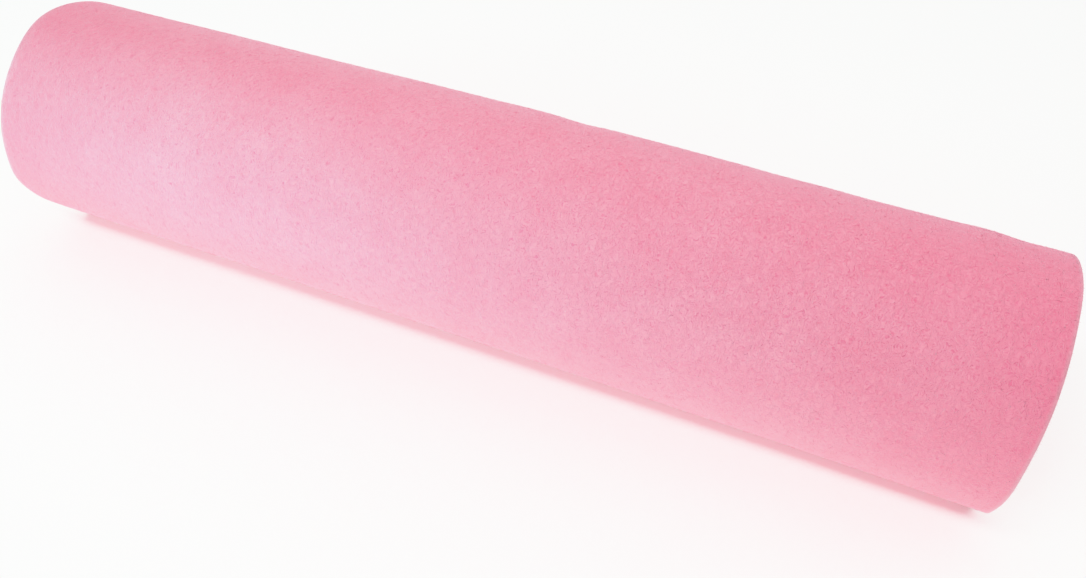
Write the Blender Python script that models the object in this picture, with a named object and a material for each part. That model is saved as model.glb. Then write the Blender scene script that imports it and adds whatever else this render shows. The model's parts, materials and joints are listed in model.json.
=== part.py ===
"""A roll of craft felt: one strip, 450 mm wide and about 5 m long, wound on itself.

The roll lies along X on a small flat spot. The middle of its box stands over the origin and its
underside is at Z = 0. It is one solid with the wound form: the outside grows by one turn on the
way round and ends in the cut edge at the low back, the eye grows in the same way, and the ends
show the main turns as a spiral of raised and sunken bands.
"""

import math

import bmesh
import bpy

# Driving dimensions, in metres. Angles are about the roll's axis, in degrees, from the back (+Y)
# over the top (+Z).
FELT_WIDTH = 0.450
FELT_THICKNESS = 0.0015
TURN_GAP = 0.00015  # the air between one turn and the next
TURNS = 26
EYE_RADIUS = 0.008
CUT_EDGE_ANGLE = -39.0  # where the strip's outer end lies, low at the back
FLAT_WIDTH = 0.0172  # the spot that the roll rests on
RIM_SOFTNESS = 0.0006

# How the roll departs from a true cylinder, as its outline in the photo does.
MIDDLE_FULLNESS = 0.0012  # the top is fuller in the middle than at the ends
BEND = 0.0011  # the middle lies this much further back than the ends
RELAXED = 0.0004  # wider and lower than round by this
INNER_FIRMNESS = 3  # the higher, the fewer of the turns follow the outside's form

# Soft swells and hollows of the outer turns. They fade out over the reach along the roll and over
# the reach round it.
SWELL_COLUMNS = ("along", "angle", "height", "reach_along", "reach_round")
SWELLS = (
    (-0.185, 50, -0.00035, 0.035, 60),
    (-0.100, 50, -0.00060, 0.055, 60),
    (0.008, 50, 0.00025, 0.014, 50),
    (0.029, 50, -0.00050, 0.009, 40),
    (0.115, 50, -0.00030, 0.014, 50),
    (0.150, 50, -0.00030, 0.014, 50),
    (0.194, 50, 0.00055, 0.009, 45),
    (0.208, 50, -0.00025, 0.008, 45),
    (-0.060, -5, 0.00050, 0.070, 35),
    (0.125, 0, -0.00045, 0.060, 35),
    (-0.175, 195, 0.00030, 0.050, 40),
    (-0.030, 170, 0.00035, 0.080, 40),
    (0.150, 185, -0.00035, 0.055, 35),
)

# The rims of the outer turns bow along the roll, out or in, at these angles. A bow fades out over
# the reach round the roll, over BOW_REACH_ALONG along it and in the turns below.
BOW_COLUMNS = ("side", "angle", "shift", "reach_round")
BOWS = (
    (-1, 90, -0.0035, 25),
    (-1, 190, -0.0022, 12),
    (1, 85, 0.0004, 18),
    (1, 172, -0.0012, 28),
    (1, 204, -0.0015, 15),
)
BOW_REACH_ALONG = 0.05
BOWED_TURNS = 4

# The main turns at the roll's ends: how far each point of one turn's band lies behind its crest.
MAIN_TURNS = 6
BAND_COLUMNS = ("share", "depth")
BAND = ((0.0, 0.0), (0.40, 0.0005), (0.72, 0.0021))
END_HOLLOW = 0.0025  # the innermost turns have slipped this far along the axis

# How finely the solid is divided.
STEPS_ROUND = 60
EVEN_STATIONS = 26
EXTRA_STATIONS = (0.022, 0.030, 0.038, 0.187, 0.200, 0.208)
EYE_STATIONS = 5
WELD_DISTANCE = 1e-6
SHARP_EDGE = math.radians(35)

PITCH = FELT_THICKNESS + TURN_GAP
HALF_WIDTH = FELT_WIDTH / 2
INNER_RING = EYE_RADIUS + PITCH
UNDER_CUT_EDGE = EYE_RADIUS + PITCH * TURNS  # the outside where the last turn covers it
OUTER_RING = UNDER_CUT_EDGE - RIM_SOFTNESS
BAND_WIDTH = (OUTER_RING - INNER_RING) / MAIN_TURNS
DOWN = -90.0
FULL_CIRCLE = 360.0
FLUSH_DEPTH = PITCH  # the outermost turns end flush, and the relief grows below them
RELIEF_EASE = 4 * PITCH


def smooth_step(value):
    """0 below 0, 1 above 1 and a soft rise between."""
    value = min(max(value, 0.0), 1.0)
    return value * value * (3 - 2 * value)


def angle_between(angle, other):
    return (angle - other + 180.0) % FULL_CIRCLE - 180.0


def unevenness(along, angle):
    """How far the outer turns stand off their true spiral."""
    upward = (1 + math.sin(math.radians(angle))) / 2
    towards_end = (along / HALF_WIDTH) ** 2
    height = MIDDLE_FULLNESS * (0.5 - towards_end) * upward
    height += RELAXED * math.cos(2 * math.radians(angle))
    for row in SWELLS:
        swell = dict(zip(SWELL_COLUMNS, row))
        off_along = (along - swell["along"]) / swell["reach_along"]
        off_round = angle_between(angle, swell["angle"]) / swell["reach_round"]
        height += swell["height"] * math.exp(-off_along**2 - off_round**2)
    return height


def rim_bow(along, radius, angle):
    """How far the outer turns' rims bow along the roll."""
    from_rim = HALF_WIDTH - abs(along)
    share = smooth_step(1 - from_rim / BOW_REACH_ALONG)
    share *= smooth_step(1 - (UNDER_CUT_EDGE - radius) / (BOWED_TURNS * PITCH))
    shift = 0.0
    for row in BOWS:
        bow = dict(zip(BOW_COLUMNS, row))
        if along * bow["side"] > 0:
            off_round = angle_between(angle, bow["angle"]) / bow["reach_round"]
            shift += bow["shift"] * math.exp(-off_round**2)
    return shift * share


def axis_height():
    """The height of the axis that presses a spot of FLAT_WIDTH flat."""
    turned = (CUT_EDGE_ANGLE - DOWN) / FULL_CIRCLE
    radius = UNDER_CUT_EDGE + PITCH * turned - RELAXED
    return math.sqrt(radius**2 - (FLAT_WIDTH / 2) ** 2)


AXIS_HEIGHT = axis_height()


def shaped_point(along, radius, turned):
    """A point of the true spiral, moved to where the soft roll has it. Its inner turns are round,
    and the nearer a turn is to the outside, the more it follows the outside's form."""
    angle = CUT_EDGE_ANGLE - FULL_CIRCLE * turned
    along += rim_bow(along, radius, angle)
    outside = UNDER_CUT_EDGE + PITCH * turned
    shaped = outside + unevenness(along, angle)
    downward = -math.sin(math.radians(angle))
    if downward > 0:
        shaped = min(shaped, AXIS_HEIGHT / downward)
    radius += (shaped - outside) * min(radius / UNDER_CUT_EDGE, 1.0) ** INNER_FIRMNESS
    bend = BEND * (1 - (along / HALF_WIDTH) ** 2)
    return (
        along,
        bend + radius * math.cos(math.radians(angle)),
        radius * math.sin(math.radians(angle)),
    )


def end_relief(radius, turned):
    """How far the felt's edge has slipped along X, at either end of the roll."""
    phase = ((radius - INNER_RING) / BAND_WIDTH - turned) % 1.0
    points = [dict(zip(BAND_COLUMNS, row)) for row in BAND]
    points.append({"share": 1.0, "depth": points[0]["depth"]})
    depth = 0.0
    for before, after in zip(points, points[1:]):
        if before["share"] <= phase <= after["share"]:
            run = (phase - before["share"]) / (after["share"] - before["share"])
            depth = before["depth"] + (after["depth"] - before["depth"]) * run
    inward = max(UNDER_CUT_EDGE - radius, 0.0)
    relief = smooth_step((inward - FLUSH_DEPTH) / RELIEF_EASE)
    return -depth * relief - END_HOLLOW * (inward / UNDER_CUT_EDGE) ** 2


def end_line_radii(turned):
    """The radii of the lines that follow the main turns' bands, at one angle of the winding."""
    radii = []
    for turn in range(-1, MAIN_TURNS):
        for share, _ in BAND:
            radius = INNER_RING + BAND_WIDTH * (turn + share + turned)
            radii.append(min(max(radius, INNER_RING), OUTER_RING))
    radii.append(OUTER_RING)
    return radii


def wall_stations():
    """The places along X of the outside's points, closer together where it steps."""
    reach = HALF_WIDTH - RIM_SOFTNESS
    even = [reach * (2 * i / (EVEN_STATIONS - 1) - 1) for i in range(EVEN_STATIONS)]
    apart = reach / EVEN_STATIONS / 2
    kept = [x for x in even if all(abs(x - extra) > apart for extra in EXTRA_STATIONS)]
    return sorted(kept + list(EXTRA_STATIONS))


def section(turned):
    """One half-plane's section as a closed chain of (along, radius): the eye, the +X end, the
    outside and the -X end. turned goes from 0 under the cut edge to 1 at it."""
    outside = UNDER_CUT_EDGE + PITCH * turned
    eye = EYE_RADIUS + PITCH * turned
    ends = [(end_relief(radius, turned), radius) for radius in end_line_radii(turned)]
    eye_slip = end_relief(eye, turned)
    eye_wall = [
        (eye_slip + FELT_WIDTH * (i / (EYE_STATIONS - 1) - 0.5), eye) for i in range(EYE_STATIONS)
    ]
    right_end = [(HALF_WIDTH + slip, radius) for slip, radius in ends]
    left_end = [(slip - HALF_WIDTH, radius) for slip, radius in reversed(ends)]
    outer_wall = [(HALF_WIDTH, outside - RIM_SOFTNESS)]
    outer_wall += [(x, outside) for x in reversed(wall_stations())]
    outer_wall += [(-HALF_WIDTH, outside - RIM_SOFTNESS)]
    return eye_wall, right_end, outer_wall, left_end


def placed_section(turned):
    chains = section(turned)
    return [shaped_point(*point, turned) for chain in chains for point in chain]


def wound_solid():
    """Carries the section once round the axis as it grows. At the end the outside and the eye
    drop by one turn, which makes the strip's two cut edges."""
    eye_wall, right_end, outer_wall, _ = section(0.0)
    outside_start = len(eye_wall) + len(right_end)
    eye = set(range(len(eye_wall)))
    outside = set(range(outside_start, outside_start + len(outer_wall)))
    model = bmesh.new()
    place = model.verts.layers.int.new("place")
    corners = [model.verts.new(point) for point in placed_section(0.0)]
    for index, corner in enumerate(corners):
        corner[place] = index
    edges = [model.edges.new((corners[i - 1], corners[i])) for i in range(len(corners))]
    for step in range(1, STEPS_ROUND + 1):
        points = placed_section(step / STEPS_ROUND)
        edges = carried_on(model, edges, points, place)
    for wall in (eye, outside):
        last = [edge for edge in edges if wall.issuperset(end[place] for end in edge.verts)]
        carried_on(model, last, placed_section(0.0), place)
    bmesh.ops.remove_doubles(model, verts=model.verts, dist=WELD_DISTANCE)
    bmesh.ops.recalc_face_normals(model, faces=model.faces)
    return model


def carried_on(model, edges, points, place):
    """Extrudes a chain of edges and puts its new corners on the given points."""
    made = bmesh.ops.extrude_edge_only(model, edges=edges)["geom"]
    for item in made:
        if isinstance(item, bmesh.types.BMVert):
            item.co = points[item[place]]
    new_edges = [item for item in made if isinstance(item, bmesh.types.BMEdge)]
    return [edge for edge in new_edges if edge.verts[0][place] != edge.verts[1][place]]


def stand_on_origin(mesh):
    """Moves the mesh so that its box is centred over the origin with its underside at Z = 0."""
    spans = [[corner.co[axis] for corner in mesh.vertices] for axis in range(3)]
    middle = [(min(span) + max(span)) / 2 for span in spans]
    lowest = min(spans[2])
    for corner in mesh.vertices:
        corner.co.x -= middle[0]
        corner.co.y -= middle[1]
        corner.co.z -= lowest


def felt_material():
    material = bpy.data.materials.new("pink_felt")
    material.use_nodes = True
    shader = material.node_tree.nodes["Principled BSDF"]
    shader.inputs["Base Color"].default_value = (0.83, 0.26, 0.36, 1.0)
    shader.inputs["Roughness"].default_value = 0.95
    shader.inputs["Metallic"].default_value = 0.0
    return material


def felt_roll():
    model = wound_solid()
    mesh = bpy.data.meshes.new("felt_roll")
    model.to_mesh(mesh)
    model.free()
    stand_on_origin(mesh)
    mesh.shade_smooth()
    mesh.set_sharp_from_angle(angle=SHARP_EDGE)
    mesh.materials.append(felt_material())
    return bpy.data.objects.new("felt_roll", mesh)


for old in list(bpy.data.objects):
    bpy.data.objects.remove(old)
parts = bpy.data.collections.new("roll_of_felt")
bpy.context.scene.collection.children.link(parts)
parts.objects.link(felt_roll())
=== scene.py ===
"""A roll of pink craft felt that lies on a pale floor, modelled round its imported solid."""

import json
import math

import bpy
import numpy as np
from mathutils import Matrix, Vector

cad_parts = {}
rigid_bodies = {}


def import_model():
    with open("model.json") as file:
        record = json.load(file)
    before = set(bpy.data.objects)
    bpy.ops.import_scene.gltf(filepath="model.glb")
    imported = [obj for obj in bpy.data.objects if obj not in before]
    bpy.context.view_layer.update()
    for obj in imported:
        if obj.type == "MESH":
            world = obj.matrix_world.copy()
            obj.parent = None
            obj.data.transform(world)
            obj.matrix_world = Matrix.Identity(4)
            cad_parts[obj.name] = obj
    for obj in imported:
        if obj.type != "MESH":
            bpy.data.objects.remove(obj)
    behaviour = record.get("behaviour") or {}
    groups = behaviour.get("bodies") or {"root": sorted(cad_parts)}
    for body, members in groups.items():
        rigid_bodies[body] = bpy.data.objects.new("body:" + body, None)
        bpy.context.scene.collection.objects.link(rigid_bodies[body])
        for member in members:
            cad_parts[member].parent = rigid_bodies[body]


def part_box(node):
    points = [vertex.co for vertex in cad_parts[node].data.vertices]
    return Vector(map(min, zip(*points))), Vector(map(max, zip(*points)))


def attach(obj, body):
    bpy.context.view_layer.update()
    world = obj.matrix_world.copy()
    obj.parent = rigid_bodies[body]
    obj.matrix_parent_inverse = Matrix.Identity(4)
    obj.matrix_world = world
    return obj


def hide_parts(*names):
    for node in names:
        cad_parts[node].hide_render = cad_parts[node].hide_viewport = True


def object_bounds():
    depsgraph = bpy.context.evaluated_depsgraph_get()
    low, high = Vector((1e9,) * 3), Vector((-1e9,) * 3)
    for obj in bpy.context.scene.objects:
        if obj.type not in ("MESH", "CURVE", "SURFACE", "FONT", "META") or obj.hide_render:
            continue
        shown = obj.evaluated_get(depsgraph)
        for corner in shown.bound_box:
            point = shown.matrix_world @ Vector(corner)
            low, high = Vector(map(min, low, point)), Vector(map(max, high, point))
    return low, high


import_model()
solid_low, solid_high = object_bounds()


# ---- The felt --------------------------------------------------------------------------------
# One strip of soft craft felt, matted from short dyed fibres, 450 mm wide and about 5 m long. It
# is cut straight across at both ends and wound on itself 26 times, with no core. Nothing fixes
# its outer end, which lies low at the back.

FELT_WIDTH = 0.450
FELT_THICKNESS = 0.0015
TURN_GAP = 0.00015  # the air between one turn and the next
TURNS = 26
EYE_RADIUS = 0.008
CUT_EDGE_ANGLE = -39.0  # the outer end's place about the axis, from the back over the top
FLAT_WIDTH = 0.0172  # the spot that the roll rests on
PITCH = FELT_THICKNESS + TURN_GAP
HALF_WIDTH = FELT_WIDTH / 2
UNDER_CUT_EDGE = EYE_RADIUS + PITCH * TURNS  # the outside where the last turn covers it
DOWN = -90.0
FULL_CIRCLE = 360.0

# How the wound form departs from a true cylinder: the same swells and hollows as the solid's.
MIDDLE_FULLNESS = 0.0012
BEND = 0.0011
RELAXED = 0.0004
INNER_FIRMNESS = 3
SWELL_COLUMNS = ("along", "angle", "height", "reach_along", "reach_round")
SWELLS = (
    (-0.185, 50, -0.00035, 0.035, 60),
    (-0.100, 50, -0.00060, 0.055, 60),
    (0.008, 50, 0.00025, 0.014, 50),
    (0.029, 50, -0.00050, 0.009, 40),
    (0.115, 50, -0.00030, 0.014, 50),
    (0.150, 50, -0.00030, 0.014, 50),
    (0.194, 50, 0.00055, 0.009, 45),
    (0.208, 50, -0.00025, 0.008, 45),
    (-0.060, -5, 0.00050, 0.070, 35),
    (0.125, 0, -0.00045, 0.060, 35),
    (-0.175, 195, 0.00030, 0.050, 40),
    (-0.030, 170, 0.00035, 0.080, 40),
    (0.150, 185, -0.00035, 0.055, 35),
)


def soft_step(value):
    """0 below 0, 1 above 1 and a soft rise between."""
    value = np.clip(value, 0.0, 1.0)
    return value * value * (3 - 2 * value)


def angle_between(angle, other):
    """The way from one angle to another, in degrees from -180 to 180."""
    return (angle - other + 180.0) % FULL_CIRCLE - 180.0


def unevenness(along, angle):
    """How far the outer turns stand off their true spiral."""
    upward = (1 + np.sin(np.radians(angle))) / 2
    towards_end = (along / HALF_WIDTH) ** 2
    height = MIDDLE_FULLNESS * (0.5 - towards_end) * upward
    height = height + RELAXED * np.cos(2 * np.radians(angle))
    for row in SWELLS:
        swell = dict(zip(SWELL_COLUMNS, row))
        off_along = (along - swell["along"]) / swell["reach_along"]
        off_round = angle_between(angle, swell["angle"]) / swell["reach_round"]
        height = height + swell["height"] * np.exp(-(off_along**2) - off_round**2)
    return height


def axis_height():
    """The height of the axis that presses a spot of FLAT_WIDTH flat."""
    turned = (CUT_EDGE_ANGLE - DOWN) / FULL_CIRCLE
    radius = UNDER_CUT_EDGE + PITCH * turned - RELAXED
    return math.sqrt(radius**2 - (FLAT_WIDTH / 2) ** 2)


AXIS_HEIGHT = axis_height()

# The six main turns at the roll's ends, each a band of about four fine turns that stands out by
# its crest, and the small slips of single turns within them.
MAIN_TURNS = 6
BAND_SHARES = (0.0, 0.40, 0.72, 1.0)
BAND_DEPTHS = (0.0, 0.0005, 0.0021, 0.0)
END_HOLLOW = 0.0025
RIM_SOFTNESS = 0.0006
INNER_RING = EYE_RADIUS + PITCH
BAND_WIDTH = (UNDER_CUT_EDGE - RIM_SOFTNESS - INNER_RING) / MAIN_TURNS
BAND_GROWTH = 4  # how many turns it takes, below the outermost one, until the bands are full
FLUSH_TURNS = 1.0  # the outermost turns end flush
SLIP_COLUMNS = ("turns", "height", "phase")
SLIPS = (
    (2.70, 0.00012, 0.4),
    (1.13, 0.00010, 2.1),
    (0.43, 0.00004, 5.0),
    (0.17, 0.00003, 1.0),
)

# The rims of the outer turns aren't quite straight: they bow along the roll, out or in, at these
# places round it. The bows fade out along the roll and in the turns below.
BOW_COLUMNS = ("side", "angle", "shift", "reach_round")
BOWS = (
    (-1, 90, -0.0035, 25),
    (-1, 190, -0.0022, 12),
    (1, 85, 0.0004, 18),
    (1, 172, -0.0012, 28),
    (1, 204, -0.0015, 15),
)
BOW_REACH_ALONG = 0.05
BOWED_TURNS = 4

# How unevenly the turns lie on each other. These waves stay low enough for the air between two
# turns, so that no turn passes into the next. They fade out over some turns at both sides.
LOOSE_COLUMNS = ("length", "height", "lobes", "phase")
LOOSE_WAVES = (
    (0.0113, 0.00005, 2, 0.7),
    (0.0071, 0.00003, -3, 2.9),
    (0.0189, 0.000045, 1, 4.4),
)
LOOSE_FADE_OUTSIDE = 3
LOOSE_FADE_EYE = 2

# The outer end: its cut wanders a little and its lip has lifted slightly off the turn below.
CUT_SKEW = 0.0009
CUT_WANDER = 0.0004
CUT_WAVE = 31.0  # in radians for each metre across
CUT_PHASE = 0.6
CUT_REACH = 0.05
LIP_LIFT = 0.00045
LIP_UNEVENNESS = 0.25
LIP_WAVE = 47.0
LIP_REACH = 0.018

FACING_FLOOR = 0.05  # the sine of how far down a place faces before the floor can press it


def end_slip(turn):
    """How far the felt's edges have slipped along the roll in each turn."""
    radius = EYE_RADIUS + PITCH * (turn + 0.5)
    phase = ((radius - INNER_RING) / BAND_WIDTH - turn) % 1.0
    inward = np.maximum(UNDER_CUT_EDGE - radius, 0.0)
    relief = soft_step((inward - PITCH) / (BAND_GROWTH * PITCH))
    slip = -np.interp(phase, BAND_SHARES, BAND_DEPTHS) * relief
    slip = slip - END_HOLLOW * (inward / UNDER_CUT_EDGE) ** 2
    inner = soft_step((TURNS - FLUSH_TURNS - turn) / FLUSH_TURNS)
    for row in SLIPS:
        wave = dict(zip(SLIP_COLUMNS, row))
        course = 2 * math.pi * turn / wave["turns"] + wave["phase"]
        slip = slip + wave["height"] * inner * np.sin(course)
    return slip


def rim_bow(along, radius, angle):
    """How far the outer turns' rims bow along the roll."""
    near_rim = soft_step(1 - (HALF_WIDTH - np.abs(along)) / BOW_REACH_ALONG)
    outer = soft_step(1 - (UNDER_CUT_EDGE - radius) / (BOWED_TURNS * PITCH))
    bow = 0.0
    for row in BOWS:
        place = dict(zip(BOW_COLUMNS, row))
        off_round = angle_between(angle, place["angle"]) / place["reach_round"]
        shift = place["shift"] * np.exp(-(off_round**2))
        bow = bow + np.where(along * place["side"] > 0, shift, 0.0)
    return bow * near_rim * outer


def looseness(radius, angle):
    """How far a turn lies from its place on the even spiral."""
    inner = soft_step((UNDER_CUT_EDGE - PITCH - radius) / (LOOSE_FADE_OUTSIDE * PITCH))
    inner = inner * soft_step((radius - EYE_RADIUS) / (LOOSE_FADE_EYE * PITCH))
    off = 0.0
    for row in LOOSE_WAVES:
        wave = dict(zip(LOOSE_COLUMNS, row))
        course = 2 * math.pi * radius / wave["length"] + wave["lobes"] * np.radians(angle)
        off = off + wave["height"] * np.sin(course + wave["phase"])
    return off * inner


def felt_length(turn):
    """The length of flat felt, from its inner end, that the turns up to this one take."""
    first = EYE_RADIUS + TURN_GAP + FELT_THICKNESS / 2
    return 2 * math.pi * (first * turn + PITCH * turn**2 / 2)


def turn_per_metre(turn):
    """How much of a turn a metre of felt makes at this turn."""
    return 1 / (2 * math.pi * (EYE_RADIUS + PITCH * turn + PITCH / 2))


def rolled(turn, across, depth):
    """Where a point of the strip lies on the roll, from its turn, its place across the strip and
    its height above the strip's inner face."""
    to_cut = (TURNS - turn) / turn_per_metre(turn)
    near_cut = soft_step(1 - to_cut / CUT_REACH)
    wander = CUT_SKEW * across / HALF_WIDTH
    wander = wander + CUT_WANDER * np.sin(across * CUT_WAVE + CUT_PHASE)
    turn = turn + wander * near_cut * turn_per_metre(turn)
    angle = CUT_EDGE_ANGLE - FULL_CIRCLE * turn
    even = EYE_RADIUS + PITCH * turn + TURN_GAP
    lip_wave = 1 - LIP_UNEVENNESS + LIP_UNEVENNESS * np.sin(across * LIP_WAVE)
    lift = LIP_LIFT * soft_step(1 - to_cut / LIP_REACH) * lip_wave
    radius = even + depth + looseness(even, angle) + lift
    along = across + end_slip(turn) + rim_bow(across, even, angle)
    turned = (CUT_EDGE_ANGLE - angle) % FULL_CIRCLE / FULL_CIRCLE
    outside = UNDER_CUT_EDGE + PITCH * turned
    shaped = outside + unevenness(along, angle)
    downward = -np.sin(np.radians(angle))
    on_floor = AXIS_HEIGHT / np.maximum(downward, FACING_FLOOR)
    shaped = np.where(downward > FACING_FLOOR, np.minimum(shaped, on_floor), shaped)
    follows = np.minimum(radius / UNDER_CUT_EDGE, 1.0) ** INNER_FIRMNESS
    radius = radius + (shaped - outside) * follows
    bend = BEND * (1 - (along / HALF_WIDTH) ** 2)
    y = bend + radius * np.cos(np.radians(angle))
    z = radius * np.sin(np.radians(angle))
    return np.stack(np.broadcast_arrays(along, y, z), axis=-1)


# How finely the strip is divided. The turn that shows has more steps and more points across.
STEPS_PER_TURN = 72
OUTER_STEPS_PER_TURN = 144
OUTER_TURNS_FROM = 24.875
POINTS_ACROSS = 6
OUTER_POINTS_ACROSS = 90
EDGE_STEPS = 6
END_STEPS = 4
EDGE_SOFTNESS = 0.0004  # how round the cut edges are


def strip_profile(divisions):
    """The strip's section as a closed chain: inner face, right edge, outer face, left edge."""
    reach = HALF_WIDTH - EDGE_SOFTNESS
    face = np.linspace(-reach, reach, divisions + 1)
    bend = np.radians(-90 + 180 * np.arange(1, EDGE_STEPS) / EDGE_STEPS)
    edge = reach + EDGE_SOFTNESS * np.cos(bend)
    rise = FELT_THICKNESS / 2 * (1 + np.sin(bend))
    across = np.concatenate([face, edge, face[::-1], -edge])
    depth = np.concatenate([0 * face, rise, 0 * face + FELT_THICKNESS, rise[::-1]])
    return across, depth


def strip_rings():
    """The turn of each ring of points and how thick the felt is there: less in the last
    fractions of a millimetre at both ends, which are round."""
    inner_steps = round(OUTER_TURNS_FROM * STEPS_PER_TURN)
    coarse = np.linspace(0, OUTER_TURNS_FROM, inner_steps, endpoint=False)
    outer_steps = round((TURNS - OUTER_TURNS_FROM) * OUTER_STEPS_PER_TURN)
    fine = np.linspace(OUTER_TURNS_FROM, TURNS, outer_steps + 1)
    bend = np.radians(90 * np.arange(END_STEPS) / END_STEPS)
    inner_end = (1 - np.sin(bend[::-1])) * EDGE_SOFTNESS * turn_per_metre(0.0)
    outer_end = TURNS - (1 - np.sin(bend)) * EDGE_SOFTNESS * turn_per_metre(TURNS)
    coarse = np.concatenate([inner_end, coarse[1:]])
    coarse_part = np.concatenate([np.cos(bend[::-1]), np.ones(len(coarse) - END_STEPS)])
    fine = np.concatenate([fine[:-1], outer_end])
    fine_part = np.concatenate([np.ones(len(fine) - END_STEPS), np.cos(bend)])
    return (coarse, coarse_part), (fine, fine_part)


def ring_points(rings, profile):
    """The flat place (turn, across, depth) of every point of these rings."""
    turns, parts = rings
    across, depth = profile
    middle = FELT_THICKNESS / 2
    turn = np.repeat(turns, len(across))
    part = np.repeat(parts, len(across))
    across = np.tile(across, len(turns))
    depth = middle + (np.tile(depth, len(turns)) - middle) * part
    return turn, across, depth


def ring_faces(first, rings, size):
    """Quads between neighbouring rings of this size, the first of which starts at this point."""
    corner = first + np.arange((rings - 1) * size).reshape(-1, size)
    after = np.roll(corner, -1, axis=1)
    return np.stack([corner, corner + size, after + size, after], axis=-1).reshape(-1, 4).tolist()


def joining_faces(coarse_first, fine_first):
    """Faces that join the last coarse ring to the first fine one, with many fine points each."""
    finer = OUTER_POINTS_ACROSS // POINTS_ACROSS
    face = np.arange(POINTS_ACROSS + 1) * finer
    edge = np.arange(1, EDGE_STEPS)
    outer = OUTER_POINTS_ACROSS + EDGE_STEPS
    last = outer + OUTER_POINTS_ACROSS
    matching = np.concatenate([face, OUTER_POINTS_ACROSS + edge, outer + face, last + edge])
    size = len(matching)
    fine_size = 2 * (OUTER_POINTS_ACROSS + EDGE_STEPS)
    faces = []
    for corner in range(size):
        after = (corner + 1) % size
        start = matching[corner]
        stop = matching[after] if after else fine_size
        fine = [int(fine_first + point % fine_size) for point in range(start, stop + 1)]
        half = len(fine) // 2
        faces.append([coarse_first + after, coarse_first + corner, fine[half]])
        for step in range(len(fine) - 1):
            nearest = corner if step < half else after
            faces.append([coarse_first + nearest, fine[step], fine[step + 1]])
    return faces


def end_faces(first, divisions, outward):
    """Faces that close the strip's end, over the ring that starts at this point."""
    size = 2 * (divisions + EDGE_STEPS)
    outer = divisions + EDGE_STEPS
    faces = []
    for step in range(divisions):
        above = outer + divisions - step
        faces.append([first + step, first + step + 1, first + above - 1, first + above])
    faces.append([first + point for point in range(divisions, outer + 1)])
    faces.append([first + point for point in range(outer + divisions, size)] + [first])
    return faces if outward else [face[::-1] for face in faces]


def felt_strip():
    """The whole strip on the roll: its points, its faces and each point's flat place."""
    inner_rings, outer_rings = strip_rings()
    inner_profile = strip_profile(POINTS_ACROSS)
    outer_profile = strip_profile(OUTER_POINTS_ACROSS)
    inner = ring_points(inner_rings, inner_profile)
    outer = ring_points(outer_rings, outer_profile)
    turn, across, depth = (np.concatenate(pair) for pair in zip(inner, outer))
    points = rolled(turn, across, depth)
    inner_size = len(inner_profile[0])
    outer_size = len(outer_profile[0])
    inner_count = len(inner_rings[0]) * inner_size
    faces = ring_faces(0, len(inner_rings[0]), inner_size)
    faces += joining_faces(inner_count - inner_size, inner_count)
    faces += ring_faces(inner_count, len(outer_rings[0]), outer_size)
    faces += end_faces(0, POINTS_ACROSS, outward=True)
    faces += end_faces(len(points) - outer_size, OUTER_POINTS_ACROSS, outward=False)
    return points, faces, np.stack([felt_length(turn), across, depth], axis=-1)


def roll_offset(points):
    """The move that lays the roll on the floor, with its middle over its solid's."""
    roll_low, roll_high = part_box("felt_roll")
    middle = (points.min(axis=0) + points.max(axis=0)) / 2
    return np.array(
        [
            (roll_low.x + roll_high.x) / 2 - middle[0],
            (roll_low.y + roll_high.y) / 2 - middle[1],
            roll_low.z + AXIS_HEIGHT,
        ]
    )


# The colours of the felt, from its palest tufts to a painted shade down in its pits. It is a little
# deeper towards both ends of the roll and paler on the cut edges.
FELT_PALE = (0.928, 0.400, 0.492, 1.0)
FELT_PINK = (0.838, 0.215, 0.305, 1.0)
FELT_PIT_SHADE = (0.660, 0.135, 0.225, 1.0)
FELT_END = (0.840, 0.190, 0.290, 1.0)
FELT_EDGE = (0.710, 0.330, 0.385, 1.0)
END_REACH = 0.085
END_SHARE = 0.42
EDGE_FADE = (0.0018, 0.0001)  # how far in from a cut edge its colour starts and is full

# Its grain: strands of matted fibre, which are lines of noise drawn out along a heading in
# degrees, and gaps between them, which are furrows of the same kind and small dimples. Scales are
# for each metre. A range holds the values of a noise that make 0 and 1, or 1 and 0 for dimples.
RIDGE_COLUMNS = ("heading", "scale", "stretch", "shift", "half_width")
STRANDS = (
    (8.0, 1000.0, 4.0, 0.0, 0.11),
    (58.0, 1150.0, 3.5, 3.0, 0.10),
    (-50.0, 1080.0, 3.5, 7.0, 0.10),
)
FURROWS = (-12.0, 1100.0, 2.5, 11.0, 0.07)
FURROW_DEPTH = 0.45
BEND_SCALE = 330.0
BEND_SHIFT = 0.0055  # how far the fibres are bent aside, in metres
NOISE_MIDDLE = 0.5
DIMPLE_SCALE = 2100.0
DIMPLE_STRETCH = 1.7
DIMPLE_RANGE = (0.33, 0.54)
CLOUD_SCALE = 34.0
CLOUD_RANGE = (0.30, 0.70)
MOTTLE_SCALE = 300.0
MOTTLE_RANGE = (0.28, 0.72)

# How much each of them counts in the felt's tone, in the painted shade of its gaps and in the grain's
# height.
CLOUD_TONE = 0.22
MOTTLE_TONE = 0.14
STRAND_TONE = 0.40
TONE_RANGE = (0.05, 0.85)
GAP_SHADE = 0.78
STRAND_HEIGHT = 0.6
MOTTLE_HEIGHT = 0.4
GAP_HEIGHT = 0.6
GRAIN_STRENGTH = 0.7
GRAIN_HEIGHT = 0.0003  # in metres

# The Mix node's two colours and its result, by their places among sockets of the same names.
MIX_COLOURS = (6, 7)
MIX_RESULT = 2


def new_material(name, roughness):
    """A plain material and its shader, to which the nodes of a finish are added."""
    material = bpy.data.materials.new(name)
    material.use_nodes = True
    shader = material.node_tree.nodes["Principled BSDF"]
    shader.inputs["Roughness"].default_value = roughness
    return material, shader


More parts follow.
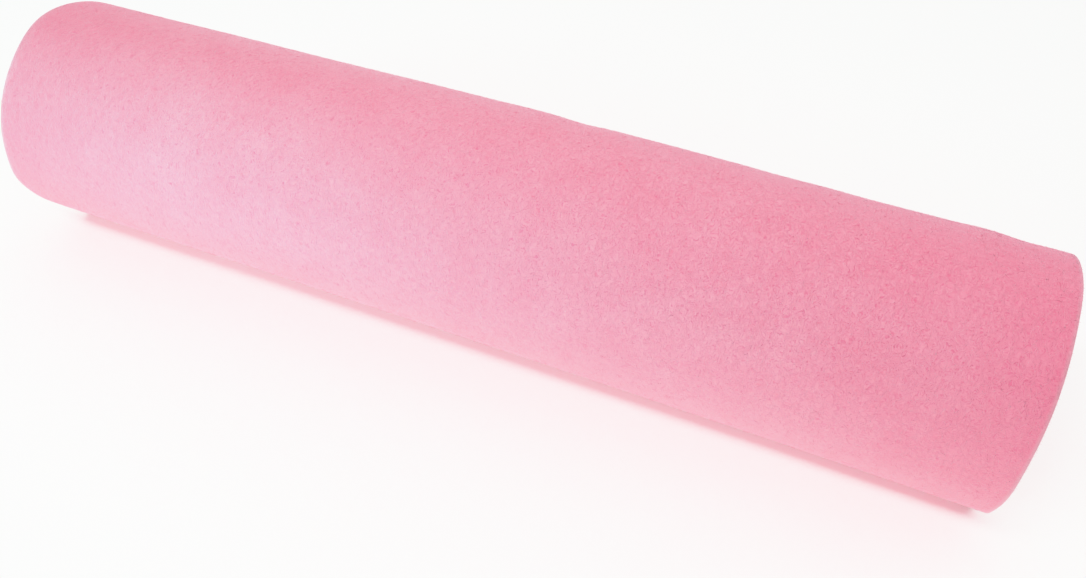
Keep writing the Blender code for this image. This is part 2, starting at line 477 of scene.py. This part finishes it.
def add_node(material, kind, **settings):
    """A node with these settings. Those named for a socket are put on it."""
    node = material.node_tree.nodes.new(kind)
    for name, value in settings.items():
        socket = node.inputs.get(name.replace("_", " ").title())
        if socket is None or hasattr(node, name):
            setattr(node, name, value)
        else:
            socket.default_value = value
    return node


def feed(material, socket, value):
    """Gives a socket a value, or links another node's output to it."""
    if isinstance(value, bpy.types.NodeSocket):
        material.node_tree.links.new(value, socket)
    else:
        socket.default_value = value


def noise(material, vector, scale, detail=2.0, roughness=0.5):
    node = add_node(material, "ShaderNodeTexNoise", scale=scale, detail=detail)
    node.inputs["Roughness"].default_value = roughness
    feed(material, node.inputs["Vector"], vector)
    return node


def graded(material, value, low, high, to_low=0.0, to_high=1.0):
    """A value carried from one range to another."""
    node = add_node(material, "ShaderNodeMapRange", from_min=low, from_max=high)
    node.inputs["To Min"].default_value = to_low
    node.inputs["To Max"].default_value = to_high
    feed(material, node.inputs["Value"], value)
    return node.outputs["Result"]


def calc(material, operation, *values, vector=False):
    """The result of one calculation on values and outputs."""
    kind = "ShaderNodeVectorMath" if vector else "ShaderNodeMath"
    node = add_node(material, kind, operation=operation)
    for socket, value in zip(node.inputs, values):
        feed(material, socket, value)
    return node.outputs["Vector" if vector else "Value"]


def mixed(material, share, first, second):
    """A colour this share of the way from the first to the second."""
    node = add_node(material, "ShaderNodeMix", data_type="RGBA")
    feed(material, node.inputs["Factor"], share)
    feed(material, node.inputs[MIX_COLOURS[0]], first)
    feed(material, node.inputs[MIX_COLOURS[1]], second)
    return node.outputs[MIX_RESULT]


def drawn_out(material, vector, stretch, heading=0.0, shift=0.0):
    """The place turned and stretched, so that a noise read there is drawn out along a heading."""
    node = add_node(material, "ShaderNodeMapping", vector_type="TEXTURE")
    node.inputs["Location"].default_value = (shift, shift, 0.0)
    node.inputs["Rotation"].default_value = (0.0, 0.0, math.radians(heading))
    node.inputs["Scale"].default_value = (stretch, 1.0, 1.0)
    feed(material, node.inputs["Vector"], vector)
    return node.outputs["Vector"]


def bent_aside(material, place):
    """The felt's flat place, shifted by a coarser noise, so that its fibres aren't straight."""
    bend = noise(material, place, BEND_SCALE).outputs["Color"]
    bend = calc(material, "SUBTRACT", bend, (NOISE_MIDDLE,) * 3, vector=True)
    shift = (BEND_SHIFT, BEND_SHIFT, 0.0)
    return calc(material, "MULTIPLY_ADD", bend, shift, place, vector=True)


def ridges(material, bent, row):
    """Lines where a noise passes its middle: 1 along each of them and 0 away from it."""
    kind = dict(zip(RIDGE_COLUMNS, row))
    longer = drawn_out(material, bent, kind["stretch"], kind["heading"], kind["shift"])
    waves = noise(material, longer, kind["scale"], roughness=0.6).outputs["Fac"]
    off_middle = calc(material, "ABSOLUTE", calc(material, "SUBTRACT", waves, NOISE_MIDDLE))
    return graded(material, off_middle, 0.0, kind["half_width"], 1.0, 0.0)


def felt_grain(material, place):
    """The strands of fibre and the gaps between them, each from 0 to 1."""
    bent = bent_aside(material, place)
    strands = ridges(material, bent, STRANDS[0])
    for row in STRANDS[1:]:
        strands = calc(material, "MAXIMUM", strands, ridges(material, bent, row))
    dimples = noise(material, drawn_out(material, bent, DIMPLE_STRETCH), DIMPLE_SCALE, detail=1.0)
    dimples = graded(material, dimples.outputs["Fac"], *DIMPLE_RANGE, 1.0, 0.0)
    furrows = calc(material, "MULTIPLY", ridges(material, bent, FURROWS), FURROW_DEPTH)
    return strands, calc(material, "MAXIMUM", dimples, furrows)


def felt_colour(material, place, strands, gaps, mottle):
    """The felt's tone from pink to pale, with painted shade in its gaps, and its own at its ends and
    edges.
    """
    clouds = noise(material, place, CLOUD_SCALE, detail=3.0, roughness=0.55).outputs["Fac"]
    clouds = graded(material, clouds, *CLOUD_RANGE)
    tone = calc(material, "MULTIPLY", clouds, CLOUD_TONE)
    tone = calc(material, "MULTIPLY_ADD", mottle, MOTTLE_TONE, tone)
    tone = calc(material, "MULTIPLY_ADD", strands, STRAND_TONE, tone)
    colour = mixed(material, graded(material, tone, *TONE_RANGE), FELT_PINK, FELT_PALE)
    # Painted shade: the grain's gaps and pits are coloured deeper.
    colour = mixed(material, calc(material, "MULTIPLY", gaps, GAP_SHADE), colour, FELT_PIT_SHADE)
    sides = add_node(material, "ShaderNodeSeparateXYZ")
    feed(material, sides.inputs["Vector"], place)
    from_middle = calc(material, "ABSOLUTE", sides.outputs["Y"])
    near_end = graded(material, from_middle, HALF_WIDTH - END_REACH, HALF_WIDTH, 0.0, END_SHARE)
    colour = mixed(material, near_end, colour, FELT_END)
    edge_from, edge_full = (HALF_WIDTH - inward for inward in EDGE_FADE)
    edge = graded(material, from_middle, edge_from, edge_full)
    return mixed(material, edge, colour, FELT_EDGE)


def felt_finish():
    material, shader = new_material("pink_felt", roughness=0.95)
    place = add_node(material, "ShaderNodeAttribute", attribute_name="felt_place")
    place = place.outputs["Vector"]
    strands, gaps = felt_grain(material, place)
    mottle = noise(material, place, MOTTLE_SCALE, detail=3.0, roughness=0.65).outputs["Fac"]
    mottle = graded(material, mottle, *MOTTLE_RANGE)
    colour = felt_colour(material, place, strands, gaps, mottle)
    feed(material, shader.inputs["Base Color"], colour)

    height = calc(material, "MULTIPLY", mottle, MOTTLE_HEIGHT)
    height = calc(material, "MULTIPLY_ADD", strands, STRAND_HEIGHT, height)
    depth = calc(material, "MULTIPLY", gaps, GAP_HEIGHT)
    height = calc(material, "SUBTRACT", height, depth)
    bump = add_node(material, "ShaderNodeBump", strength=GRAIN_STRENGTH, distance=GRAIN_HEIGHT)
    feed(material, bump.inputs["Height"], height)
    feed(material, shader.inputs["Normal"], bump.outputs["Normal"])

    shader.inputs["Specular IOR Level"].default_value = 0.15
    shader.inputs["Sheen Weight"].default_value = 0.6
    shader.inputs["Sheen Roughness"].default_value = 0.5
    shader.inputs["Sheen Tint"].default_value = (1.0, 0.86, 0.93, 1.0)
    return material


def new_piece(name, points, faces, material):
    """A mesh object in the scene, shaded smooth, that rides on the roll's body."""
    mesh = bpy.data.meshes.new(name)
    mesh.from_pydata(points.tolist(), [], faces)
    mesh.shade_smooth()
    mesh.materials.append(material)
    piece = bpy.data.objects.new(name, mesh)
    bpy.context.scene.collection.objects.link(piece)
    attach(piece, "root")
    return piece


# The felt's flat picture, by rows from 0 to 1: the outer face of the turn that shows takes most
# of it, and the faces that lie inside the roll, the long edges and the ends share the rest.
SHOWN_ROWS = (0.005, 0.790)
COVERED_ROWS = (0.810, 0.860)
INNER_FACE_ROWS = (0.870, 0.920)
EDGE_ROWS = ((0.930, 0.950), (0.960, 0.975))
END_ROWS = (0.985, 0.995)
PICTURE_COLUMNS = (0.005, 0.995)
END_WIDTH = 0.45  # the strip's two ends lie side by side
OUTER_END_FROM = 0.5  # the column at which the outer end starts


def between(limits, share):
    """The place this share of the way between two limits."""
    return limits[0] + (limits[1] - limits[0]) * share


def lay_out(mesh, places):
    """Gives each corner of the felt's faces its place in the flat picture."""
    corners = np.empty(len(mesh.loops), dtype=np.int32)
    mesh.loops.foreach_get("vertex_index", corners)
    starts = np.empty(len(mesh.polygons), dtype=np.int32)
    mesh.polygons.foreach_get("loop_start", starts)
    sizes = np.diff(np.append(starts, len(corners)))
    place = places[corners]
    middle = np.add.reduceat(place, starts) / sizes[:, None]
    span = np.maximum.reduceat(place[:, 0], starts) - np.minimum.reduceat(place[:, 0], starts)
    on_end = np.repeat(span == 0, sizes)
    middle = np.repeat(middle, sizes, axis=0)
    whole = felt_length(TURNS)
    shown_from = felt_length(OUTER_TURNS_FROM)
    along = place[:, 0] / whole
    aside = (place[:, 1] + HALF_WIDTH) / FELT_WIDTH
    rise = place[:, 2] / FELT_THICKNESS
    on_edge = np.abs(middle[:, 1]) > HALF_WIDTH - EDGE_SOFTNESS
    outward = middle[:, 2] > FELT_THICKNESS / 2
    shown = outward & (middle[:, 0] > shown_from)
    end_from = (middle[:, 0] > shown_from) * OUTER_END_FROM
    shown_share = (place[:, 0] - shown_from) / (whole - shown_from)
    row = np.select(
        [on_end, on_edge & (middle[:, 1] > 0), on_edge, shown, outward],
        [
            between(END_ROWS, rise),
            between(EDGE_ROWS[0], rise),
            between(EDGE_ROWS[1], rise),
            between(SHOWN_ROWS, shown_share),
            between(COVERED_ROWS, place[:, 0] / shown_from),
        ],
        between(INNER_FACE_ROWS, along),
    )
    column = np.select([on_end, on_edge], [aside * END_WIDTH + end_from, along], aside)
    picture = mesh.uv_layers.new(name="OFBake")
    flat = np.stack([between(PICTURE_COLUMNS, column), row], axis=-1)
    picture.data.foreach_set("uv", flat.astype(np.float32).ravel())


felt_points, felt_faces, felt_places = felt_strip()
ROLL_OFFSET = roll_offset(felt_points)
felt = new_piece("wound_felt", felt_points + ROLL_OFFSET, felt_faces, felt_finish())
place_layer = felt.data.attributes.new("felt_place", "FLOAT_VECTOR", "POINT")
place_layer.data.foreach_set("vector", felt_places.astype(np.float32).ravel())
lay_out(felt.data, felt_places)
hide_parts("felt_roll")


# ---- The locks of fibre ----------------------------------------------------------------------
# The felt's outer face is a mat of short curly fibres, needled into each other. Locks of them lie
# flat on it, some paler and some deeper than the rest, with both their ends tucked in.

LOCK_COLUMNS = ("name", "count", "seed", "colour")
LOCK_PIECES = (
    ("pale_locks", 14000, 11, (0.890, 0.320, 0.430, 1.0)),
    ("deep_locks", 14000, 12, (0.815, 0.220, 0.330, 1.0)),
)
LOCK_LENGTH = (0.0012, 0.0038)
LOCK_HALF_WIDTH = (0.00003, 0.00008)
LOCK_HALF_HEIGHT = 0.00003
LOCK_RISE = (0.00001, 0.00012)  # how high its middle lies on the face
LOCK_SINK = 0.00006  # how deep its ends are tucked in
LOCK_CURL = 260.0  # the most that a lock turns, in radians for each metre
LEAST_CURL = 1.0  # a lock is never quite straight
LOCK_SPREAD = 0.5  # how far from straight round the roll the locks head, in radians
RIM_MARGIN = 0.0008

# A lock's points: a tip, two rings of left, right and top, and a tip. Their places along it, to
# its side and above its middle line are shares of its length, half width and half height.
LOCK_ALONG = np.array([[-0.5, -0.2, -0.2, -0.2, 0.2, 0.2, 0.2, 0.5]])
LOCK_ASIDE = np.array([[0, -1, 1, 0, -1, 1, 0, 0]])
LOCK_ABOVE = np.array([[0, -1, -1, 1, -1, -1, 1, 0]])
LOCK_POINTS = 8
LOCK_RING = 3  # the points in a ring


def turn_at(length):
    """The turn on which this much of the flat felt has been wound up."""
    first = EYE_RADIUS + TURN_GAP + FELT_THICKNESS / 2
    return (np.sqrt(first**2 + PITCH * length / math.pi) - first) / PITCH


def on_roll(length, across, depth):
    """Points given on the flat felt, laid on the roll in the scene and kept off the floor."""
    points = rolled(turn_at(length), across, depth) + ROLL_OFFSET
    points[..., 2] = np.maximum(points[..., 2], solid_low.z)
    return points


def lock_points(count, rng):
    """The points of this many locks, laid on the roll."""
    size = rng.uniform(*LOCK_LENGTH, (count, 1))
    outer_end = felt_length(TURNS) - RIM_MARGIN - size / 2
    start = rng.uniform(felt_length(TURNS - 1), outer_end)
    reach = HALF_WIDTH - RIM_MARGIN - size / 2
    middle = rng.uniform(-reach, reach)
    heading = rng.normal(0.0, LOCK_SPREAD, (count, 1))
    curl = rng.uniform(-LOCK_CURL, LOCK_CURL, (count, 1))
    curl = np.where(np.abs(curl) < LEAST_CURL, LEAST_CURL, curl)
    half_width = rng.uniform(*LOCK_HALF_WIDTH, (count, 1))
    rise = rng.uniform(*LOCK_RISE, (count, 1))
    place = size * LOCK_ALONG
    sideways = half_width * LOCK_ASIDE
    upward = LOCK_ABOVE * LOCK_HALF_HEIGHT
    ahead = np.sin(curl * place) / curl - sideways * np.sin(curl * place)
    aside = (1 - np.cos(curl * place)) / curl + sideways * np.cos(curl * place)
    length = start + ahead * np.cos(heading) - aside * np.sin(heading)
    across = middle + ahead * np.sin(heading) + aside * np.cos(heading)
    depth = FELT_THICKNESS + np.where(LOCK_ABOVE != 0, rise + upward, -LOCK_SINK)
    return on_roll(length, across, depth).reshape(-1, 3)


def repeated(pattern, count, size):
    """One face of each of many like bodies, which have this many points each."""
    return (np.array(pattern) + size * np.arange(count)[:, None]).tolist()


def lock_faces(count):
    """Three sides a lock: each a triangle at its first tip, a quad and a triangle at its last."""
    faces = []
    for first, second in ((1, 2), (2, 3), (3, 1)):
        next_first, next_second = first + LOCK_RING, second + LOCK_RING
        faces += repeated([second, 0, first], count, LOCK_POINTS)
        faces += repeated([next_first, next_second, second, first], count, LOCK_POINTS)
        faces += repeated([next_first, LOCK_POINTS - 1, next_second], count, LOCK_POINTS)
    return faces


def fibre_finish(name, colour):
    material, shader = new_material(name, roughness=0.9)
    shader.inputs["Base Color"].default_value = colour
    shader.inputs["Specular IOR Level"].default_value = 0.15
    shader.inputs["Sheen Weight"].default_value = 0.4
    shader.inputs["Sheen Roughness"].default_value = 0.5
    return material


for row in LOCK_PIECES:
    kind = dict(zip(LOCK_COLUMNS, row))
    rng = np.random.default_rng(kind["seed"])
    finish = fibre_finish(kind["name"], kind["colour"])
    new_piece(kind["name"], lock_points(kind["count"], rng), lock_faces(kind["count"]), finish)


# ---- The fuzz --------------------------------------------------------------------------------
# Single fibres stand off the felt's outer face and out of its cut edges, each a fine tapered hair
# with its root in the felt. They show mostly along the roll's outline.

FUZZ_COLUMNS = ("name", "count", "seed", "colour")
FACE_FUZZ = (
    ("face_fuzz_1", 45000, 21, (0.440, 0.330, 0.350, 1.0)),
    ("face_fuzz_2", 45000, 22, (0.580, 0.380, 0.410, 1.0)),
)
EDGE_FUZZ = ("edge_fuzz", 24000, 23, (0.680, 0.330, 0.380, 1.0))
END_FUZZ = ("end_fuzz", 2500, 24, (0.680, 0.330, 0.380, 1.0))
FUZZ_HALF_WIDTH = (0.00004, 0.00007)
FUZZ_RISE = (0.00010, 0.00060)
FUZZ_LEAN = 0.00035
FUZZ_ROOT = 0.00004  # how deep the root is in the felt
EDGE_FUZZ_RISE = (0.0001, 0.0008)
EDGE_FUZZ_ROOTS = (0.2, 0.8)  # where the roots lie through the felt's thickness
HAIR_POINTS = 4  # three round the root and the tip
ROOT_ANGLES = np.radians([[90.0, 210.0, 330.0]])


def hairs(roots, tips, half_width, plane):
    """The points of hairs, laid on the roll: three round each root, in the plane of these two
    axes of the flat felt, and the tip."""
    places = np.repeat(roots[:, None, :], HAIR_POINTS, axis=1)
    places[:, :-1, plane[0]] += half_width * np.cos(ROOT_ANGLES)
    places[:, :-1, plane[1]] += half_width * np.sin(ROOT_ANGLES)
    places[:, -1] = tips
    return on_roll(places[..., 0], places[..., 1], places[..., 2]).reshape(-1, 3)


def hair_faces(count, outward):
    """The faces of hairs whose roots' planes are seen from outside, or from inside."""
    patterns = ([0, 2, 1], [0, 1, 3], [1, 2, 3], [2, 0, 3])
    faces = []
    for pattern in patterns:
        faces += repeated(pattern if outward else pattern[::-1], count, HAIR_POINTS)
    return faces


def face_hairs(count, rng):
    """Hairs all over the felt's outer face."""
    roots = np.empty((count, 3))
    roots[:, 0] = rng.uniform(felt_length(TURNS - 1), felt_length(TURNS) - RIM_MARGIN, count)
    roots[:, 1] = rng.uniform(-HALF_WIDTH + RIM_MARGIN, HALF_WIDTH - RIM_MARGIN, count)
    roots[:, 2] = FELT_THICKNESS - FUZZ_ROOT
    tips = roots + rng.uniform(-FUZZ_LEAN, FUZZ_LEAN, (count, 3))
    tips[:, 2] = FELT_THICKNESS + rng.uniform(*FUZZ_RISE, count)
    half_width = rng.uniform(*FUZZ_HALF_WIDTH, (count, 1))
    return hairs(roots, tips, half_width, plane=(0, 1)), hair_faces(count, outward=False)


def edge_hairs(count, rng):
    """Hairs along both long edges of the strip, which are the roll's ends. Those on the left come
    first, because their faces run the other way round."""
    side = np.repeat([-1.0, 1.0], count // 2)
    roots = np.empty((count, 3))
    roots[:, 0] = rng.uniform(0.0, felt_length(TURNS), count)
    roots[:, 1] = side * (HALF_WIDTH - 2 * FUZZ_ROOT)
    roots[:, 2] = rng.uniform(*EDGE_FUZZ_ROOTS, count) * FELT_THICKNESS
    tips = roots + rng.uniform(-FUZZ_LEAN, FUZZ_LEAN, (count, 3))
    tips[:, 1] = side * (HALF_WIDTH + rng.uniform(*EDGE_FUZZ_RISE, count))
    half_width = rng.uniform(*FUZZ_HALF_WIDTH, (count, 1))
    left_points = HAIR_POINTS * (count // 2)
    faces = hair_faces(count // 2, outward=False)
    for face in hair_faces(count // 2, outward=True):
        faces.append([left_points + corner for corner in face])
    return hairs(roots, tips, half_width, plane=(0, 2)), faces


def end_hairs(count, rng):
    """Hairs along the strip's outer cut end."""
    roots = np.empty((count, 3))
    roots[:, 0] = felt_length(TURNS) - 2 * FUZZ_ROOT
    roots[:, 1] = rng.uniform(-HALF_WIDTH, HALF_WIDTH, count)
    roots[:, 2] = rng.uniform(*EDGE_FUZZ_ROOTS, count) * FELT_THICKNESS
    tips = roots + rng.uniform(-FUZZ_LEAN, FUZZ_LEAN, (count, 3))
    tips[:, 0] = felt_length(TURNS) + rng.uniform(*EDGE_FUZZ_RISE, count)
    half_width = rng.uniform(*FUZZ_HALF_WIDTH, (count, 1))
    return hairs(roots, tips, half_width, plane=(1, 2)), hair_faces(count, outward=False)


for row, kind_of_hairs in (
    (FACE_FUZZ[0], face_hairs),
    (FACE_FUZZ[1], face_hairs),
    (EDGE_FUZZ, edge_hairs),
    (END_FUZZ, end_hairs),
):
    kind = dict(zip(FUZZ_COLUMNS, row))
    fuzz_points, fuzz_faces = kind_of_hairs(kind["count"], np.random.default_rng(kind["seed"]))
    new_piece(kind["name"], fuzz_points, fuzz_faces, fibre_finish(kind["name"], kind["colour"]))


# ---- The floor -------------------------------------------------------------------------------
# A plain pale studio floor, wider than the camera sees. It isn't part of the roll, which rests on
# it with its flat spot.

FLOOR_COLOUR = (0.92, 0.92, 0.92, 1.0)
FLOOR_SIDE = 6.0
FLOOR_CLEARANCE = 0.0001

floor_finish, floor_shader = new_material("studio_floor", roughness=0.7)
floor_shader.inputs["Base Color"].default_value = FLOOR_COLOUR
floor_mesh = bpy.data.meshes.new("studio_floor")
side = FLOOR_SIDE / 2
floor_mesh.from_pydata(
    [(-side, -side, 0), (side, -side, 0), (side, side, 0), (-side, side, 0)], [], [(0, 1, 2, 3)]
)
floor_mesh.materials.append(floor_finish)
floor = bpy.data.objects.new("studio_floor", floor_mesh)
floor.location.z = solid_low.z - FLOOR_CLEARANCE
bpy.context.scene.collection.objects.link(floor)


# ---- The light -------------------------------------------------------------------------------
# Soft studio light. Two panels above the roll, two small ones close in front of it and a dim room
# light the felt. One from above the front makes the floor as white as a lit sweep, and a low one
# fills the shadow on it.

ROOM_COLOUR = (1.0, 1.0, 1.0, 1.0)
ROOM_STRENGTH = 0.02
PANEL_COLUMNS = ("name", "place", "aim", "sides", "power", "colour", "lights")
PANELS = (
    ("top_panel", (0.35, 0, 1.2), (0.1, 0, 0.05), (0.4, 0.4), 12.0, (0.98, 0.95, 1), "roll"),
    ("back_panel", (-0.1, 0.55, 0.9), (-0.05, 0, 0.05), (0.3, 0.3), 5.0, (0.87, 1, 1), "roll"),
    ("middle_panel", (-0.1, -0.15, 0.45), (-0.08, 0, 0.05), (0.2, 0.2), 1.0, (0.72, 1, 0.91), "roll"),
    ("front_panel", (-0.12, -0.3, 0.08), (-0.1, 0, 0.04), (0.15, 0.15), 0.92, (0.22, 1, 0.96), "roll"),
    ("floor_panel", (-0.1, -0.82, 1.7), (0, 0, 0), (1.5, 0.25), 114.0, (1, 1, 0.99), "floor"),
    ("floor_fill", (-0.8, -1.0, 0.35), (0, 0, 0), (0.8, 0.8), 26.0, (0.90, 1, 0.98), "floor"),
)

room = bpy.data.worlds.new("dim_room")
room.use_nodes = True
room.node_tree.nodes["Background"].inputs["Color"].default_value = ROOM_COLOUR
room.node_tree.nodes["Background"].inputs["Strength"].default_value = ROOM_STRENGTH
bpy.context.scene.world = room

lit = {"roll": bpy.data.collections.new("lit_roll"), "floor": bpy.data.collections.new("lit_floor")}
for piece in bpy.context.scene.objects:
    if piece.type == "MESH":
        lit["floor" if piece == floor else "roll"].objects.link(piece)


def look_from(place, aim):
    """The rotation of a lamp at one place that points at another."""
    heading = [to - at for at, to in zip(place, aim)]
    flat = math.hypot(heading[0], heading[1])
    return (math.atan2(flat, -heading[2]), 0.0, math.atan2(-heading[0], heading[1]))


for row in PANELS:
    panel = dict(zip(PANEL_COLUMNS, row))
    lamp = bpy.data.lights.new(panel["name"], "AREA")
    lamp.shape = "RECTANGLE"
    lamp.size, lamp.size_y = panel["sides"]
    lamp.energy = panel["power"]
    lamp.color = panel["colour"]
    lamp_object = bpy.data.objects.new(panel["name"], lamp)
    lamp_object.location = panel["place"]
    lamp_object.rotation_euler = look_from(panel["place"], panel["aim"])
    lamp_object.visible_camera = False
    lamp_object.light_linking.receiver_collection = lit[panel["lights"]]
    bpy.context.scene.collection.objects.link(lamp_object)


# ---- The camera ------------------------------------------------------------------------------
# It stands in front of the roll's right half, above it, and looks down and to the left, so that
# the left end is further away.

CAMERA_PLACE = (0.1437, -0.2784, 0.3441)
CAMERA_PITCH = 42.77  # up from straight down
CAMERA_HEADING = 22.96  # to the left of straight back
CAMERA_LENS = 32.0
SENSOR_WIDTH = 36.0
CAMERA_RANGE = (0.01, 20.0)

camera_data = bpy.data.cameras.new("camera")
camera_data.lens = CAMERA_LENS
camera_data.sensor_width = SENSOR_WIDTH
camera_data.clip_start, camera_data.clip_end = CAMERA_RANGE
camera = bpy.data.objects.new("camera", camera_data)
camera.location = CAMERA_PLACE
camera.rotation_euler = (math.radians(CAMERA_PITCH), 0.0, math.radians(CAMERA_HEADING))
bpy.context.scene.collection.objects.link(camera)
bpy.context.scene.camera = camera
bpy.context.scene.view_settings.view_transform = "Khronos PBR Neutral"
